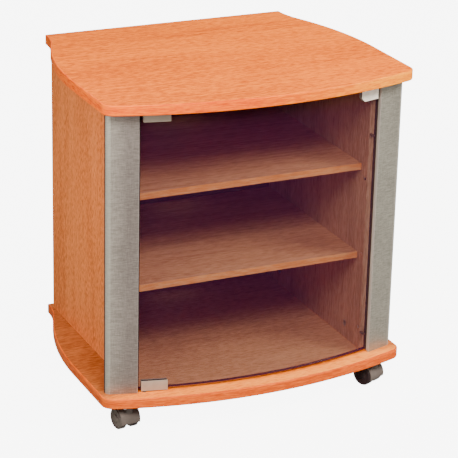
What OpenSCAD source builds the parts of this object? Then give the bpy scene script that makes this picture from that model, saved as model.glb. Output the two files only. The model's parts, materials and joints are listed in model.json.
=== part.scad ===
// Rolling television cart: bowed top and bottom boards, two set-in side boards with
// silver pilasters, loose shelves and a bowed smoked-glass door on pivot hinges.
// The floor is z = 0, the front is -Y, and x = 0 is the middle of the cart.

/* [Top and bottom boards] */
// Depth from the back edge to the crown of the bow
board_depth = 575; // [520:1:640]
// Width at the front, the overall width
front_w = 700; // [640:1:780]
// Thickness of the boards
board_t = 22; // [18:0.5:28]
// Radius of the bowed front edge
bow_r = 1060; // [950:1:1250]
// Radius of the front corners
corner_r = 28; // [18:1:36]
// Radius of the hollow at the back of each side
hollow_r = 185; // [180:1:320]
// Angle at which each side flares, at its steepest
flare_angle = 22.5; // [19:0.5:26]
// Overhang of the boards past the pilasters
front_overhang = 13; // [8:0.5:20]
// Overhang of the boards past the side boards, at the back corners
back_overhang = 6; // [4:0.5:14]
// Thickness of the edging strip
edging_t = 3; // [2:0.25:5]
// Round-over of the edging strip
edging_round = 2.2; // [1:0.1:3]

/* [Side boards] */
// Thickness of a side board
side_t = 16; // [15:0.5:19]
// Height of the side boards
side_h = 617; // [560:1:700]
// Setback of the side boards from the back edge
side_back = 20; // [12:1:40]

/* [Pilasters] */
// Width of a pilaster
pilaster_w = 64; // [54:0.5:74]
// How far a pilaster laps over the front edge of its side board
pilaster_lap = 5; // [3:0.5:8]
// Setback of the pilaster face from the bowed edge
pilaster_setback = 28; // [24:0.5:32]
// Radius of the rounded outer edge
pilaster_nose = 12; // [9:0.25:14]
// Radius of the eased inner edge
pilaster_ease = 2; // [1:0.25:3]

/* [Shelves] */
// Thickness of a shelf
shelf_t = 15; // [12:0.5:19]
// Distance of a shelf's front edge behind the front edges of the side boards
shelf_setback = 25; // [22:1:80]
// Gap between a shelf and the back board
shelf_back_gap = 4; // [2:1:40]
// Gap at each end of a shelf
shelf_end_gap = 1; // [0.5:0.25:2]
// Height of the lower shelf's top above the bottom board
lower_shelf_z = 222; // [180:1:260]
// Height of the upper shelf's top above the bottom board
upper_shelf_z = 425; // [380:1:470]
// Diameter of a shelf pin
shelf_pin_d = 5; // [4:0.5:6]
// Depth of a shelf pin in the side board
shelf_pin_in = 9; // [7:0.5:11]
// Reach of a shelf support from the side board
support_reach = 9; // [7:0.5:14]
// Width of a shelf support
support_w = 12; // [9:0.5:16]
// Distance of the shelf pins from the shelf's front and back edges
support_inset = 45; // [30:1:90]

/* [Back board] */
// Thickness of the back board
back_t = 3; // [2.5:0.1:4]
// Clearance above and below the back board
back_gap = 0.5; // [0.25:0.25:2]
// How far the back board stops short of the side boards' outer faces
back_inset = 2; // [1:0.5:5]
// Width of a cable cut-out
cable_w = 120; // [80:1:160]
// Height of a cable cut-out
cable_h = 46; // [30:1:70]
// Height of a cut-out's middle above the board or shelf under it
cable_z = 60; // [50:1:90]
// Nails along each side of the back board
nails = 6; // [4:1:9]
// Diameter of a nail
nail_d = 1.6; // [1.2:0.1:2.5]
// Length of a nail
nail_l = 20; // [14:1:25]
// Distance of the end nails from the ends of the side boards
nail_end = 30; // [20:1:60]

/* [Door] */
// Setback of the glass from the bowed edge
glass_setback = 36; // [34:0.5:40]
// Thickness of the glass
glass_t = 5; // [4:0.5:6]
// Gap between the hinge edge of the glass and the pilaster
hinge_edge_gap = 4; // [3:0.5:9]
// Gap between the lock edge of the glass and the pilaster
lock_edge_gap = 5; // [3:0.5:9]
// Gap between a hinge clip and the board
clip_gap = 2; // [1.5:0.25:5]
// Length of a hinge clip
clip_w = 56; // [40:1:70]
// Distance of a hinge clip from the hinge edge of the glass
clip_inset = 6; // [4:0.5:8]
// Height of a hinge clip
clip_h = 22; // [18:1:30]
// Wall of a hinge clip
clip_wall = 2.5; // [2:0.25:3]
// Thickness of the web under the glass
clip_floor = 3; // [2:0.25:5]
// Thickness of the liner between clip and glass
liner_t = 1; // [0.5:0.1:1.5]
// Distance of the pivot from the hinge edge of the glass
pivot_inset = 13; // [12:0.5:15]
// Diameter of the pivot pin
pivot_d = 6; // [4:0.5:7]
// Running clearance of the pivot pin, on the radius
pivot_play = 0.05; // [0.02:0.01:0.08]
// Length of the pin below the clip
pivot_l = 12; // [10:0.5:14]
// Outer diameter of the pivot bush
bush_d = 10; // [9:0.5:13]
// Diameter of the bush's flange
bush_flange_d = 14; // [13:0.5:16]
// Gap between bush flange and clip
thrust_gap = 0.3; // [0.2:0.05:0.5]
// Diameter of the clamp screws in a clip
clamp_d = 4; // [3:0.5:5]
// Length of the strike plate
strike_w = 46; // [34:1:56]
// Height of the strike plate
strike_h = 32; // [20:1:36]
// Thickness of the strike plate's metal
strike_t = 2; // [1.5:0.25:2.5]
// Corner cut off the strike plate
strike_cut = 8; // [4:1:12]

/* [Catch] */
// Width of the catch housing
catch_w = 18; // [15:0.5:24]
// Height of the catch housing
catch_h = 16; // [14:0.5:22]
// Length of the catch housing
catch_l = 58; // [45:1:70]
// Diameter of the plunger
plunger_d = 9; // [7:0.5:10]
// Press stroke of the plunger
plunger_stroke = 4; // [2:0.5:5]
// How far the plunger shows in front of the housing
plunger_out = 8; // [7:0.5:12]
// Gap between plunger and strike plate with the door shut
plunger_gap = 0.3; // [0.2:0.05:0.5]
// Running clearance of the plunger, on the radius
plunger_play = 0.08; // [0.04:0.01:0.1]
// Diameter of the door bumpers
bumper_d = 6.5; // [5:0.5:7]
// Length of the door bumpers
bumper_l = 11; // [7:0.5:14]
// Height of the lower bumper above the bottom board
bumper_rise = 40; // [30:1:100]
// Distance of the upper bumper below the top board
bumper_drop = 120; // [90:1:160]

/* [Fasteners] */
// Diameter of a cam disc
cam_d = 15; // [12:0.5:16]
// How far a cam disc reaches past the middle of the side board
cam_past = 4; // [3.75:0.25:5]
// Distance of the cam discs from the board's end
cam_reach = 34; // [24:1:40]
// Diameter of a cam bolt
bolt_d = 6; // [5:0.5:7]
// Depth of a cam bolt in the top or bottom board
bolt_in = 11; // [9:0.5:14]
// Diameter of a dowel
dowel_d = 8; // [6:0.5:10]
// Length of a dowel
dowel_l = 30; // [24:1:34]
// Distance of the rear cams from the side board's back edge
cam_back = 70; // [50:1:120]
// Distance of the front cams from the side board's front edge
cam_front = 70; // [50:1:120]
// Distance between a cam and the dowel beside it
dowel_pitch = 32; // [24:1:45]
// Diameter of the wood screws
screw_d = 3.5; // [3:0.25:4]
// Screws in each pilaster
pilaster_screws_n = 4; // [3:1:6]
// Distance of the end screws from the ends of a pilaster
pilaster_screw_end = 50; // [30:1:90]
// Clearance of a fastener in its hole, on the radius
hole_gap = 0.1; // [0.05:0.05:0.3]

/* [Casters] */
// Height from the floor to the bottom board
caster_h = 61; // [58:0.5:66]
// Diameter of a wheel
wheel_d = 48; // [42:0.5:50]
// Width of one wheel
wheel_w = 16; // [12:0.5:18]
// Thickness of the web between the wheels
web_t = 13; // [12:0.5:16]
// Trail of the axle behind the swivel axis
trail = 16; // [12:0.5:18]
// Diameter of the axle
axle_d = 6; // [4:0.5:7]
// Diameter of the swivel stem
stem_d = 7; // [6:0.5:8]
// Running clearance of the wheels and the stem, on the radius
caster_play = 0.05; // [0.03:0.01:0.1]
// Side clearance of a wheel
wheel_gap = 0.6; // [0.4:0.1:1]
// Gap between the hood and the tread
hood_gap = 1.2; // [1:0.1:2]
// Thickness of the hood
hood_t = 2; // [1.5:0.25:3]
// Side of the square mounting plate
plate_w = 36; // [34:1:46]
// Thickness of the mounting plate
plate_t = 2.5; // [2:0.25:3]
// Distance between the plate's screws
plate_pitch = 27; // [26:0.5:34]
// Distance of the front swivels from the sides of the boards
caster_inset_front = 58; // [54:1:90]
// Distance of the rear swivels from the back corners of the boards
caster_inset_back = 33; // [26:1:60]
// Distance of the front plates from the bowed edge
plate_margin = 5.5; // [5:0.5:30]
// Distance of the rear swivels from the back edge
caster_back = 50; // [45:1:90]
// Swivel heading of the front left caster
heading_front_left = 97; // [0:1:359]
// Swivel heading of the front right caster
heading_front_right = 114; // [0:1:359]
// Swivel heading of the rear left caster
heading_back_left = 78; // [0:1:359]
// Swivel heading of the rear right caster
heading_back_right = 97; // [0:1:359]

/* [Hidden] */
$fn = 64;
eps = 0.01;

WOOD = [0.90, 0.56, 0.36];
WOOD_EDGE = [0.92, 0.52, 0.28];
WOOD_SIDE = [0.78, 0.46, 0.28];
SILVER = [0.66, 0.65, 0.62];
STEEL = [0.75, 0.75, 0.76];
ZINC = [0.80, 0.77, 0.72];
SMOKE = [0.24, 0.08, 0.14, 0.6];
DARK = [0.16, 0.14, 0.16];
HOOD_GREY = [0.55, 0.53, 0.50];
HARDBOARD = [0.30, 0.20, 0.16];

// Levels and depths
back_y = board_depth / 2;
floor_z = caster_h + board_t;
ceil_z = floor_z + side_h;
mid_z = (floor_z + ceil_z) / 2;
bow_y = back_y - board_depth + bow_r;

// Widths, from the outside in
half_front = front_w / 2;
pilaster_out = half_front - front_overhang;
pilaster_in = pilaster_out - pilaster_w;
side_out = pilaster_in + pilaster_lap;
side_in = side_out - side_t;
side_mid = side_out - side_t / 2;
half_back = side_out + back_overhang;
glass_left = pilaster_in - hinge_edge_gap;
glass_right = pilaster_in - lock_edge_gap;

// Glass, and the front edges of the side boards, which its bumpers stand on
glass_out_r = bow_r - glass_setback;
glass_in_r = glass_out_r - glass_t;
glass_mid_r = glass_out_r - glass_t / 2;
glass_a_left = -asin(glass_left / glass_mid_r);
glass_a_right = asin(glass_right / glass_mid_r);
glass_z_0 = floor_z + clip_gap + clip_floor + liner_t;
glass_z_1 = 2 * mid_z - glass_z_0;
bumper_y = bow_y - sqrt(glass_in_r * glass_in_r - glass_right * glass_right) + thrust_gap;
side_front_y = bumper_y + bumper_l;

// Outline of the boards: back corner, hollow arc, full arc, straight, front corner, bow
full_r = (half_front - half_back) / (1 - cos(flare_angle)) - hollow_r;
flare_end_y = back_y - (hollow_r + full_r) * sin(flare_angle);
corner_x = half_front - corner_r;
corner_y = bow_y - sqrt(pow(bow_r - corner_r, 2) - corner_x * corner_x);
corner_end = acos(corner_x / (bow_r - corner_r));
HOLLOW_STEPS = 10;
FULL_STEPS = 14;
CORNER_STEPS = 8;
BOW_STEPS = 18;
ROUND_STEPS = 3;

function on_arc(cx, cy, r, a) = [cx + r * cos(a), cy + r * sin(a)];

// Right half of the outline, moved in by an inset, from the back corner to the crown
function half_outline(inset) = [
    for (i = [0 : HOLLOW_STEPS])
        on_arc(half_back + hollow_r, back_y, hollow_r + inset, 180 + flare_angle * i / HOLLOW_STEPS),
    for (i = [1 : FULL_STEPS])
        on_arc(half_front - full_r, flare_end_y, full_r - inset, flare_angle * (1 - i / FULL_STEPS)),
    for (i = [0 : CORNER_STEPS])
        on_arc(corner_x, corner_y, corner_r - inset, -corner_end * i / CORNER_STEPS),
    for (i = [1 : BOW_STEPS])
        on_arc(0, bow_y, bow_r - inset, -corner_end - (90 - corner_end) * i / BOW_STEPS)
];

function mirrored(points) = [
    for (i = [len(points) - 2 : -1 : 0]) [-points[i][0], points[i][1]]
];

function outline(inset) = concat(half_outline(inset), mirrored(half_outline(inset)));

// Section of the edging strip, as inset and height, from its inner bottom to its inner top
function edging_section() = concat(
    [[edging_t, 0]],
    [for (i = [0 : ROUND_STEPS])
        [edging_round * (1 - sin(90 * i / ROUND_STEPS)), edging_round * (1 - cos(90 * i / ROUND_STEPS))]],
    [for (i = [0 : ROUND_STEPS])
        [edging_round * (1 - cos(90 * i / ROUND_STEPS)),
         board_t - edging_round * (1 - sin(90 * i / ROUND_STEPS))]],
    [[edging_t, board_t]]
);

module edging() {
    section = edging_section();
    n = len(section);
    lines = [for (s = section) [for (p = outline(s[0])) [p[0], p[1], s[1]]]];
    m = len(lines[0]);
    points = [for (j = [0 : m - 1]) for (i = [0 : n - 1]) lines[i][j]];
    walls = [
        for (j = [0 : m - 2]) for (i = [0 : n - 1])
            [j * n + i, j * n + (i + 1) % n, (j + 1) * n + (i + 1) % n, (j + 1) * n + i]
    ];
    first = [for (i = [n - 1 : -1 : 0]) i];
    last = [for (i = [0 : n - 1]) (m - 1) * n + i];
    polyhedron(points = points, faces = concat([first], walls, [last]), convexity = 6);
}

// Places for the joints between the side boards and the top and bottom boards
cam_ys = [back_y - side_back - cam_back, side_front_y + cam_front];
dowel_ys = [cam_ys[0] - dowel_pitch, cam_ys[1] + dowel_pitch];

module both_sides() {
    children();
    mirror([1, 0, 0]) children();
}

module at_both_ends() {
    children();
    translate([0, 0, 2 * mid_z]) mirror([0, 0, 1]) children();
}

module at_joint_ys(ys) {
    for (y = ys) translate([side_mid, y, floor_z]) children();
}

// Cam bolts stand up from the bottom board and hang down from the top board
module cam_bolt() {
    head_d = bolt_d + 0.8;
    neck_d = bolt_d - 2;
    head_l = 2.5;
    neck_l = 3;
    tip = cam_reach + 2;
    translate([0, 0, -bolt_in]) cylinder(d = bolt_d, h = bolt_in + tip - head_l - neck_l);
    translate([0, 0, tip - head_l - neck_l - eps]) cylinder(d = neck_d, h = neck_l + 2 * eps);
    translate([0, 0, tip - head_l]) cylinder(d = head_d, h = head_l);
}

module cam_bolts() {
    color(STEEL) both_sides() at_both_ends() at_joint_ys(cam_ys) cam_bolt();
}

cam_slot_d = bolt_d + 2;
cam_depth = side_t / 2 + cam_past;

module cam_lock() {
    slot_w = 1.6;
    slot_deep = 1.5;
    difference() {
        translate([side_in - side_mid, 0, cam_reach]) rotate([0, 90, 0]) cylinder(d = cam_d, h = cam_depth);
        cylinder(d = cam_slot_d, h = cam_reach + 4);
        for (turn = [0, 90])
            translate([side_in - side_mid, 0, cam_reach]) rotate([turn, 0, 0])
                cube([2 * slot_deep, cam_d * 0.6, slot_w], center = true);
    }
}

module cam_locks() {
    color(ZINC) both_sides() at_both_ends() at_joint_ys(cam_ys) cam_lock();
}

module dowels() {
    color([0.85, 0.72, 0.5]) both_sides() at_both_ends() at_joint_ys(dowel_ys)
        cylinder(d = dowel_d, h = dowel_l, center = true);
}

// Holes in the face of the bottom board; the top board has the same, mirrored
module board_joint_holes() {
    both_sides() {
        at_joint_ys(cam_ys) translate([0, 0, -bolt_in - hole_gap])
            cylinder(r = bolt_d / 2 + hole_gap, h = bolt_in + 1);
        at_joint_ys(dowel_ys) translate([0, 0, -dowel_l / 2 - hole_gap])
            cylinder(r = dowel_d / 2 + hole_gap, h = dowel_l);
    }
}

module side_joint_holes() {
    at_both_ends() {
        at_joint_ys(cam_ys) translate([0, 0, -1])
            cylinder(r = bolt_d / 2 + 0.5 + hole_gap, h = cam_reach + 1);
        at_joint_ys(cam_ys) translate([side_in - side_mid - 1, 0, cam_reach]) rotate([0, 90, 0])
            cylinder(r = cam_d / 2 + hole_gap, h = cam_depth + hole_gap + 1);
        at_joint_ys(dowel_ys) translate([0, 0, -dowel_l / 2])
            cylinder(r = dowel_d / 2 + hole_gap, h = dowel_l + hole_gap);
    }
}

// Anything drawn round the centre of the bow: angle 0 is the crown, positive to the right
module at_bow(angle) {
    translate([0, bow_y, 0]) rotate([0, 0, angle]) children();
}

module arc_block(r_in, r_out, a_0, a_1, z_0, z_1) {
    far = r_out * 1.2;
    at_bow(0) translate([0, 0, z_0]) linear_extrude(z_1 - z_0) intersection() {
        difference() {
            circle(r = r_out, $fn = 720);
            circle(r = r_in, $fn = 720);
        }
        polygon([[0, 0], [far * sin(a_0), -far * cos(a_0)], [far * sin(a_1), -far * cos(a_1)]]);
    }
}

function arc_angle(length) = length / glass_mid_r * 180 / PI;

module door_glass() {
    color(SMOKE) arc_block(glass_in_r, glass_out_r, glass_a_left, glass_a_right, glass_z_0, glass_z_1);
}

// Pivot hinges
pivot_a = glass_a_left + arc_angle(pivot_inset);
pivot_x = glass_mid_r * sin(pivot_a);
pivot_y = bow_y - glass_mid_r * cos(pivot_a);
clip_z_0 = floor_z + clip_gap;
clip_a_0 = glass_a_left + arc_angle(clip_inset);
clip_a_1 = clip_a_0 + arc_angle(clip_w);
clip_in_r = glass_in_r - liner_t - clip_wall;
clip_out_r = glass_out_r + liner_t + clip_wall;
clamp_as = [clip_a_0 + arc_angle(clip_w * 0.45), clip_a_0 + arc_angle(clip_w * 0.8)];
clamp_z = clip_z_0 + clip_h * 0.6;

module clamp_axis(a) {
    at_bow(a) translate([0, -clip_in_r, clamp_z]) rotate([90, 0, 0]) children();
}

module hinge_clip() {
    difference() {
        arc_block(clip_in_r, clip_out_r, clip_a_0, clip_a_1, clip_z_0, clip_z_0 + clip_h);
        arc_block(glass_in_r - liner_t, glass_out_r + liner_t, clip_a_0 - 1, clip_a_1 + 1,
                  clip_z_0 + clip_floor, clip_z_0 + clip_h + 1);
        translate([pivot_x, pivot_y, clip_z_0 - 1]) cylinder(d = pivot_d, h = clip_floor + 2);
        for (a = clamp_as) clamp_axis(a) translate([0, 0, -1]) cylinder(d = clamp_d, h = clip_wall + 1.5);
    }
}

module hinge_clip_bottom() {
    color(ZINC) hinge_clip();
}

module hinge_clip_top() {
    color(ZINC) translate([0, 0, 2 * mid_z]) mirror([0, 0, 1]) hinge_clip();
}

module hinge_liners() {
    a_0 = clip_a_0 + arc_angle(1);
    a_1 = clip_a_1 - arc_angle(1);
    z_1 = clip_z_0 + clip_h - 1;
    color(DARK) at_both_ends() difference() {
        arc_block(glass_in_r - liner_t, glass_out_r + liner_t, a_0, a_1, clip_z_0 + clip_floor, z_1);
        arc_block(glass_in_r - hole_gap, glass_out_r + hole_gap, a_0 - 1, a_1 + 1,
                  glass_z_0 - hole_gap, z_1 + 1);
    }
}

// Grub screws from the inside of the door, flush with the clip
module hinge_clamp_screws() {
    color(STEEL) at_both_ends() for (a = clamp_as) clamp_axis(a) difference() {
        cylinder(d = clamp_d, h = clip_wall);
        cube([clamp_d * 0.8, 0.8, 1.6], center = true);
    }
}

module pivot_pin() {
    translate([pivot_x, pivot_y, clip_z_0 - pivot_l]) {
        cylinder(d1 = pivot_d - 1, d2 = pivot_d, h = 0.5);
        translate([0, 0, 0.5]) cylinder(d = pivot_d, h = pivot_l + clip_floor - 0.5);
    }
}

module pivot_pin_bottom() {
    color(STEEL) pivot_pin();
}

module pivot_pin_top() {
    color(STEEL) translate([0, 0, 2 * mid_z]) mirror([0, 0, 1]) pivot_pin();
}

bush_deep = pivot_l - clip_gap + 2;

module pivot_bush() {
    flange = clip_gap - thrust_gap;
    translate([pivot_x, pivot_y, floor_z]) difference() {
        union() {
            translate([0, 0, -bush_deep]) cylinder(d = bush_d, h = bush_deep + eps);
            cylinder(d = bush_flange_d, h = flange);
        }
        translate([0, 0, -pivot_l + clip_gap - 0.5]) cylinder(r = pivot_d / 2 + pivot_play, h = pivot_l + 2);
    }
}

module pivot_bush_bottom() {
    color(DARK) pivot_bush();
}

module pivot_bush_top() {
    color(DARK) translate([0, 0, 2 * mid_z]) mirror([0, 0, 1]) pivot_bush();
}

module pivot_bush_hole() {
    translate([pivot_x, pivot_y, floor_z - bush_deep - hole_gap])
        cylinder(r = bush_d / 2 + hole_gap, h = bush_deep + 1);
}

// Strike plate folded over the top lock corner of the glass
strike_z_1 = glass_z_1 + strike_t + hole_gap;
strike_z_0 = strike_z_1 - strike_h;
strike_a_1 = glass_a_right;
strike_a_0 = strike_a_1 - arc_angle(strike_w);
strike_in_r = glass_in_r - hole_gap - strike_t;

module strike_plate() {
    color(ZINC) difference() {
        arc_block(strike_in_r, glass_out_r + hole_gap + strike_t, strike_a_0, strike_a_1,
                  strike_z_0, strike_z_1);
        arc_block(glass_in_r - hole_gap, glass_out_r + hole_gap, strike_a_0 - 1, strike_a_1 + 1,
                  strike_z_0 - 1, glass_z_1 + hole_gap);
        at_bow(strike_a_0) translate([0, -glass_mid_r, strike_z_0]) rotate([0, 45, 0])
            cube([strike_cut * sqrt(2), 4 * glass_t, strike_cut * sqrt(2)], center = true);
    }
}

// Touch catch under the top board, square to the glass behind the strike plate
catch_a = (strike_a_0 + strike_a_1) / 2;
plunger_tip_r = strike_in_r - plunger_gap;
catch_front_r = plunger_tip_r - plunger_out;
catch_z = ceil_z - catch_h / 2;
plunger_l = plunger_out + catch_l * 0.6;
ear_w = 9;
ear_t = 3;
ear_l = 16;
catch_screw_l = 14;

module at_catch() {
    at_bow(catch_a) translate([0, -catch_front_r, 0]) children();
}

module at_catch_screws() {
    for (side = [-1, 1])
        at_catch() translate([side * (catch_w + ear_w) / 2, catch_l / 2, ceil_z - ear_t]) children();
}

module catch_housing() {
    bore_l = plunger_l - plunger_out + plunger_stroke + 1;
    color(DARK) difference() {
        union() {
            at_catch() translate([-catch_w / 2, 0, ceil_z - catch_h]) cube([catch_w, catch_l, catch_h]);
            at_catch() translate([-catch_w / 2 - ear_w, (catch_l - ear_l) / 2, ceil_z - ear_t])
                cube([catch_w + 2 * ear_w, ear_l, ear_t]);
        }
        at_catch() translate([0, bore_l, catch_z]) rotate([90, 0, 0])
            cylinder(r = plunger_d / 2 + plunger_play, h = bore_l + 1);
        at_catch_screws() translate([0, 0, -1]) cylinder(r = screw_d / 2 + hole_gap, h = ear_t + 2);
    }
}

module catch_plunger() {
    tip_l = 3;
    color(STEEL) at_catch() translate([0, plunger_l - plunger_out, catch_z]) rotate([90, 0, 0]) {
        cylinder(d = plunger_d, h = plunger_l - tip_l);
        translate([0, 0, plunger_l - tip_l - eps]) cylinder(d = plunger_d - 1, h = tip_l + eps);
    }
}

// Pan-head wood screw: the head hangs below z = 0 and the shank stands up
module pan_screw(length) {
    head_d = screw_d * 2;
    head_h = screw_d * 0.6;
    difference() {
        translate([0, 0, -head_h]) cylinder(d = head_d, h = head_h);
        translate([0, 0, -head_h]) cube([head_d * 0.6, 0.9, 1.4], center = true);
        translate([0, 0, -head_h]) cube([0.9, head_d * 0.6, 1.4], center = true);
    }
    translate([0, 0, -eps]) cylinder(d = screw_d, h = length + eps);
}

module screw_hole(length) {
    translate([0, 0, -1]) cylinder(r = screw_d / 2 + hole_gap, h = length + 1 + hole_gap);
}

module catch_screws() {
    color(STEEL) at_catch_screws() pan_screw(catch_screw_l);
}

// Rubber bumpers on the right side board's front edge, behind the lock edge of the glass
bumper_x = side_in + bumper_d / 2 + 0.5;
bumper_zs = [floor_z + bumper_rise, ceil_z - bumper_drop];

module door_bumpers() {
    color(DARK) for (z = bumper_zs)
        translate([bumper_x, bumper_y, z]) rotate([-90, 0, 0]) cylinder(d = bumper_d, h = bumper_l);
}

// Boards
module top_panel() {
    color(WOOD) difference() {
        translate([0, 0, ceil_z]) linear_extrude(board_t) polygon(outline(edging_t));
        translate([0, 0, 2 * mid_z]) mirror([0, 0, 1]) board_joint_holes();
        translate([0, 0, 2 * mid_z]) mirror([0, 0, 1]) pivot_bush_hole();
        at_catch_screws() screw_hole(catch_screw_l);
    }
}

module bottom_panel() {
    color(WOOD) difference() {
        translate([0, 0, caster_h]) linear_extrude(board_t) polygon(outline(edging_t));
        board_joint_holes();
        pivot_bush_hole();
        for (c = CASTERS) at_plate_screws(c) screw_hole(plate_screw_l);
    }
}

module top_edging() {
    color(WOOD_EDGE) translate([0, 0, ceil_z]) edging();
}

module bottom_edging() {
    color(WOOD_EDGE) translate([0, 0, caster_h]) edging();
}

// Shelf supports
shelf_zs = [floor_z + lower_shelf_z - shelf_t, floor_z + upper_shelf_z - shelf_t];
shelf_back_y = back_y - side_back - shelf_back_gap;
shelf_front_y = side_front_y + shelf_setback;
support_ys = [shelf_back_y - support_inset, shelf_front_y + support_inset];
support_t = 2.5;
support_drop = 9;

module at_supports() {
    for (z = shelf_zs) for (y = support_ys) translate([side_in, y, z]) children();
}

module shelf_support() {
    translate([-support_reach, -support_w / 2, -support_t]) cube([support_reach, support_w, support_t]);
    translate([-support_t, -support_w / 2, -support_drop]) cube([support_t, support_w, support_drop]);
    rotate([90, 0, 0]) linear_extrude(support_t, center = true)
        polygon([[0, -support_drop], [0, 0], [-support_reach, 0], [-support_reach, -support_t]]);
    translate([-eps, 0, -support_drop / 2]) rotate([0, 90, 0]) cylinder(d = shelf_pin_d, h = shelf_pin_in + eps);
}

module shelf_pins() {
    color(STEEL) both_sides() at_supports() shelf_support();
}

module shelf_pin_holes() {
    at_supports() translate([-1, 0, -support_drop / 2]) rotate([0, 90, 0])
        cylinder(r = shelf_pin_d / 2 + hole_gap, h = shelf_pin_in + hole_gap + 1);
}

// Pilaster section, right side: face and back in line with the bow, rounded outer edge
pilaster_r = bow_r - pilaster_setback;
nose_x = pilaster_out - pilaster_nose;
nose_y = bow_y - sqrt(pow(pilaster_r - pilaster_nose, 2) - nose_x * nose_x);
pilaster_back_y = nose_y + pilaster_nose;
pilaster_screw_l = 30;
pilaster_screw_y = (pilaster_back_y + side_front_y) / 2;
pilaster_screw_zs = [
    for (i = [0 : pilaster_screws_n - 1])
        floor_z + pilaster_screw_end + i * (side_h - 2 * pilaster_screw_end) / (pilaster_screws_n - 1)
];

module pilaster_section() {
    ease_y = bow_y - sqrt(pow(pilaster_r - pilaster_ease, 2) - pow(pilaster_in + pilaster_ease, 2));
    reach = 40;
    away = (nose_x / (bow_y - nose_y)) * reach;
    difference() {
        union() {
            translate([nose_x, nose_y]) circle(r = pilaster_nose);
            intersection() {
                translate([0, bow_y]) circle(r = pilaster_r, $fn = 720);
                polygon([
                    [pilaster_in + pilaster_ease, pilaster_back_y], [nose_x, pilaster_back_y],
                    [nose_x, nose_y], [nose_x + away, nose_y - reach],
                    [pilaster_in + pilaster_ease, nose_y - reach]
                ]);
            }
            translate([pilaster_in + pilaster_ease, ease_y]) circle(r = pilaster_ease);
            translate([pilaster_in, ease_y])
                square([2 * pilaster_ease, pilaster_back_y - ease_y]);
        }
        translate([pilaster_in - 1, side_front_y])
            square([pilaster_lap + 1, pilaster_back_y - side_front_y + 1]);
    }
}

module at_pilaster_screws() {
    for (z = pilaster_screw_zs) translate([side_in, pilaster_screw_y, z]) rotate([0, 90, 0]) children();
}

module pilaster() {
    difference() {
        translate([0, 0, floor_z]) linear_extrude(side_h) pilaster_section();
        at_pilaster_screws() cylinder(r = screw_d / 2 + hole_gap, h = pilaster_screw_l + hole_gap);
    }
}

module pilaster_right() {
    color(SILVER) pilaster();
}

module pilaster_left() {
    color(SILVER) mirror([1, 0, 0]) pilaster();
}

// Countersunk screws through the side board into the pilaster
module flat_screw(length) {
    head_h = screw_d * 0.55;
    cylinder(d1 = screw_d * 2, d2 = screw_d, h = head_h);
    translate([0, 0, head_h - eps]) cylinder(d = screw_d, h = length - head_h + eps);
}

module pilaster_screws() {
    color(STEEL) both_sides() at_pilaster_screws() flat_screw(pilaster_screw_l);
}

module side_panel() {
    head_h = screw_d * 0.55;
    difference() {
        translate([side_in, side_front_y, floor_z]) cube([side_t, back_y - side_back - side_front_y, side_h]);
        side_joint_holes();
        shelf_pin_holes();
        at_pilaster_screws() {
            translate([0, 0, -eps]) cylinder(d1 = (screw_d + hole_gap) * 2, d2 = screw_d + 2 * hole_gap, h = head_h);
            cylinder(r = screw_d / 2 + hole_gap, h = side_t + 1);
        }
        at_nails() nail_hole();
    }
}

module side_panel_right() {
    color(WOOD_SIDE) side_panel();
}

module side_panel_left() {
    color(WOOD_SIDE) mirror([1, 0, 0]) side_panel();
}

module shelf(z) {
    half = side_in - shelf_end_gap;
    color(WOOD) translate([-half, shelf_front_y, z]) cube([2 * half, shelf_back_y - shelf_front_y, shelf_t]);
}

module upper_shelf() {
    shelf(shelf_zs[1]);
}

module lower_shelf() {
    shelf(shelf_zs[0]);
}

// Back board, nailed to the back edges of the side boards
back_board_y = back_y - side_back;
cable_zs = [floor_z + cable_z, floor_z + lower_shelf_z + cable_z, floor_z + upper_shelf_z + cable_z];

module at_nails() {
    for (i = [0 : nails - 1])
        translate([side_mid, back_board_y + back_t, floor_z + nail_end + i * (side_h - 2 * nail_end) / (nails - 1)])
            rotate([90, 0, 0]) children();
}

module nail() {
    head_h = 0.8;
    translate([0, 0, -head_h]) cylinder(d = nail_d * 2.6, h = head_h);
    translate([0, 0, -eps]) cylinder(d = nail_d, h = nail_l - 2);
    translate([0, 0, nail_l - 2 - eps]) cylinder(d1 = nail_d, d2 = 0.4, h = 2);
}

module nail_hole() {
    translate([0, 0, -1]) cylinder(r = nail_d / 2 + hole_gap, h = nail_l + 1);
}

module back_nails() {
    color(STEEL) both_sides() at_nails() nail();
}

module cable_hole() {
    straight = cable_w - cable_h;
    rotate([90, 0, 0]) {
        cube([straight, cable_h, 4 * back_t], center = true);
        for (side = [-1, 1]) translate([side * straight / 2, 0, 0])
            cylinder(d = cable_h, h = 4 * back_t, center = true);
    }
}

module back_panel() {
    half = side_out - back_inset;
    color(HARDBOARD) difference() {
        translate([-half, back_board_y, floor_z + back_gap])
            cube([2 * half, back_t, side_h - 2 * back_gap]);
        for (z = cable_zs) translate([0, back_board_y, z]) cable_hole();
        both_sides() at_nails() nail_hole();
    }
}

// Casters: place and heading of each, as x, y and the direction in which the axle trails
caster_x_front = half_front - caster_inset_front;
caster_x_back = half_back - caster_inset_back;
caster_y_back = back_y - caster_back;
caster_y_front = bow_y - sqrt(pow(bow_r - plate_margin, 2) - pow(caster_x_front + plate_w / 2, 2)) + plate_w / 2;
CASTERS = [
    [-caster_x_front, caster_y_front, heading_front_left],
    [caster_x_front, caster_y_front, heading_front_right],
    [-caster_x_back, caster_y_back, heading_back_left],
    [caster_x_back, caster_y_back, heading_back_right]
];
wheel_r = wheel_d / 2;
hood_in_r = wheel_r + hood_gap;
hood_out_r = hood_in_r + hood_t;
plate_z = caster_h - plate_t;
plate_screw_l = 14;
swivel_gap = 0.4;
stem_drop = 6;
stem_z = wheel_r - stem_drop;
hood_w = web_t + 2 * (wheel_w + wheel_gap) - 1;
neck_wall = 5.5;
neck_sink = 8;
neck_d = stem_d + 2 * neck_wall;
hub_wall = 4;
hub_d = axle_d + 2 * hub_wall;
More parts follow.
